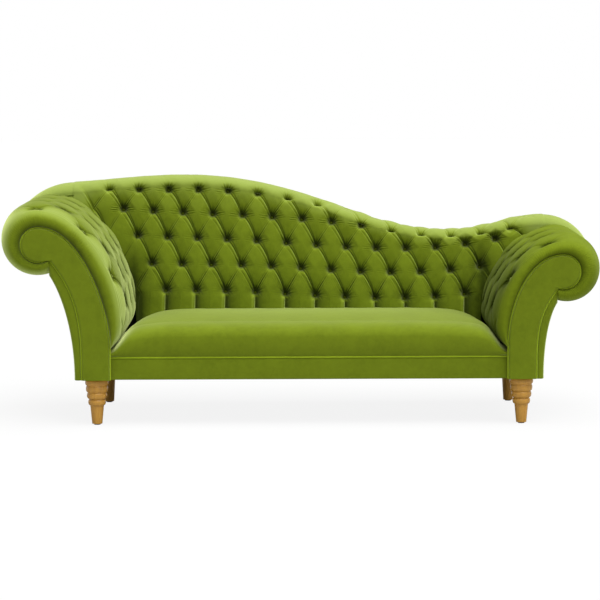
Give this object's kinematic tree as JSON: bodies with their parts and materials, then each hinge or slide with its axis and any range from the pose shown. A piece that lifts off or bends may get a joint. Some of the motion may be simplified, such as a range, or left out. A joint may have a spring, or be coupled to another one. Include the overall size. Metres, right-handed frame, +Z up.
{
  "type": "fainting couch",
  "caption": "Victorian-style fainting couch in green velvet with unequal scroll arms, a serpentine deep-buttoned back and turned beech legs.",
  "frame": {"origin": "on the floor, under the middle of the couch's bounding box", "axes": "+X from the high scroll to the low scroll, +Y from the seat's front to the back, +Z up"},
  "size_m": [2.3088, 0.8568, 0.8979],
  "materials": {
    "velvet": "moss green velvet with a short pile and a soft sheen",
    "velvet_trim": "the same velvet pulled tight over cord and button moulds",
    "beech": "light golden brown turned beech, satin varnish",
    "frame_wood": "planed hardwood without a finish",
    "steel": "plain bright steel",
    "hardboard": "brown pressed board",
    "felt": "grey pressed felt",
    "black_cloth": "black woven cloth",
    "glide_plastic": "black moulded plastic"
  },
  "bodies": {
    "root": {"front_rail": "frame_wood", "rear_rail": "frame_wood", "end_rail_left": "frame_wood", "end_rail_right": "frame_wood", "cross_rails": "frame_wood", "corner_blocks": "frame_wood", "leg_blocks": "frame_wood", "seat_springs": "steel", "spring_clips": "steel", "seat_felt": "felt", "seat_pad": "velvet", "front_border": "velvet", "seat_welt": "velvet_trim", "dust_cover": "black_cloth", "arm_front_board_left": "frame_wood", "arm_front_board_right": "frame_wood", "arm_rear_board_left": "frame_wood", "arm_rear_board_right": "frame_wood", "arm_base_rail_left": "frame_wood", "arm_base_rail_right": "frame_wood", "arm_battens_left": "frame_wood", "arm_battens_right": "frame_wood", "arm_lining_left": "hardboard", "arm_lining_right": "hardboard", "arm_pad_left": "velvet", "arm_pad_right": "velvet", "arm_buttons_left": "velvet_trim", "arm_buttons_right": "velvet_trim", "arm_facing_left": "velvet", "arm_facing_right": "velvet", "arm_piping_left": "velvet_trim", "arm_piping_right": "velvet_trim", "outside_arm_left": "velvet", "outside_arm_right": "velvet", "back_post_left": "frame_wood", "back_post_right": "frame_wood", "back_inner_posts": "frame_wood", "back_lower_rails": "frame_wood", "back_top_rail": "frame_wood", "back_webbing": "black_cloth", "back_pad": "velvet", "back_buttons": "velvet_trim", "outside_back": "velvet", "front_leg_left": "beech", "front_leg_right": "beech", "rear_leg_left": "beech", "rear_leg_right": "beech", "leg_studs": "steel", "leg_nuts": "steel", "leg_glides": "glide_plastic", "frame_bolts": "steel"}
  },
  "joints": []
}
